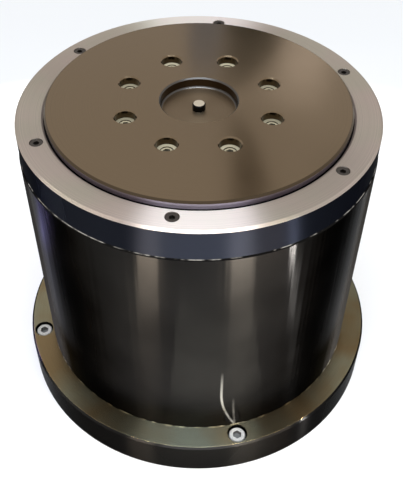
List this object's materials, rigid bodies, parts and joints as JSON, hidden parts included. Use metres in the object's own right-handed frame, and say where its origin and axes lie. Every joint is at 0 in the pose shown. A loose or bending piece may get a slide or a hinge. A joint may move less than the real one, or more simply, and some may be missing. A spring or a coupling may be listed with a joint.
{
  "type": "direct drive rotary table",
  "caption": "Round motor-driven turntable: a slotted torque motor in a black flanged tube turns a table on a crossed-roller bearing, with a screwed top ring and rear connectors.",
  "frame": {"origin": "on the base face at the table's axis of rotation", "axes": "+Z along the axis of rotation, from the base to the table face; +Y towards the connectors at the back"},
  "size_m": [0.19, 0.19, 0.16],
  "materials": {
    "flange_alloy": "black anodised, top face turned bare",
    "black_anodised_tube": "gloss black anodised, turned",
    "ring_alloy": "top face turned bare, side black anodised",
    "turned_table_steel": "lathe turned, fine rings",
    "ground_pin_steel": "ground",
    "black_screws": "black oxide",
    "plated_screws": "zinc plated",
    "seal_rubber": "matt",
    "gasket_sheet": "matt",
    "cover_alloy": "satin",
    "bearing_steel": "ground and polished",
    "cage_plastic": "moulded",
    "lamination_steel": "stacked laminations",
    "copper_winding": "enamelled copper",
    "circuit_board": "solder mask",
    "plated_brass": "plated",
    "rotor_steel": "turned",
    "plated_magnet": "nickel plated",
    "hub_alloy": "turned",
    "scale_steel": "fine ruled band",
    "sensor_plastic": "moulded",
    "connector_plating": "nickel plated",
    "insulator_plastic": "moulded",
    "gold_contact": "gold plated"
  },
  "bodies": {
    "housing": {"base_flange": "flange_alloy", "base_seal": "seal_rubber", "tube_screws": "black_screws", "housing_tube": "black_anodised_tube", "top_ring": "ring_alloy", "ring_seal": "seal_rubber", "ring_screws": "black_screws", "wiper_seal": "seal_rubber", "bottom_cover": "cover_alloy", "cover_gasket": "gasket_sheet", "cover_screws": "plated_screws", "bearing_outer_race_lower": "bearing_steel", "bearing_outer_race_upper": "bearing_steel", "stator_core": "lamination_steel", "stator_coils": "copper_winding", "winding_board": "circuit_board", "board_pillars": "plated_brass", "encoder_bracket": "cover_alloy", "encoder_read_head": "sensor_plastic", "encoder_screws": "plated_screws", "power_connector": "connector_plating", "power_insert": "insulator_plastic", "power_pins": "gold_contact", "feedback_connector": "connector_plating", "feedback_insert": "insulator_plastic", "feedback_pins": "gold_contact", "connector_gaskets": "gasket_sheet", "connector_screws": "plated_screws"},
    "table": {"turntable": "turned_table_steel", "centre_pin": "ground_pin_steel", "rotor_hub": "hub_alloy", "hub_screws": "black_screws", "bearing_inner_race": "bearing_steel", "rotor_yoke": "rotor_steel", "rotor_magnets": "plated_magnet", "encoder_scale_ring": "scale_steel", "scale_screws": "black_screws"},
    "rollers": {"bearing_rollers": "bearing_steel", "roller_cage": "cage_plastic"}
  },
  "joints": [
    {"name": "table_spin", "type": "hinge", "parent": "housing", "child": "table", "pos_m": [0, 0, 0.134], "axis": [0, 0, 1], "continuous": true},
    {"name": "roller_orbit", "type": "hinge", "parent": "housing", "child": "rollers", "pos_m": [0, 0, 0.134], "axis": [0, 0, 1], "continuous": true}
  ],
  "couplings": [
    {"joint": "roller_orbit", "follows": "table_spin", "ratio": 0.4764}
  ]
}
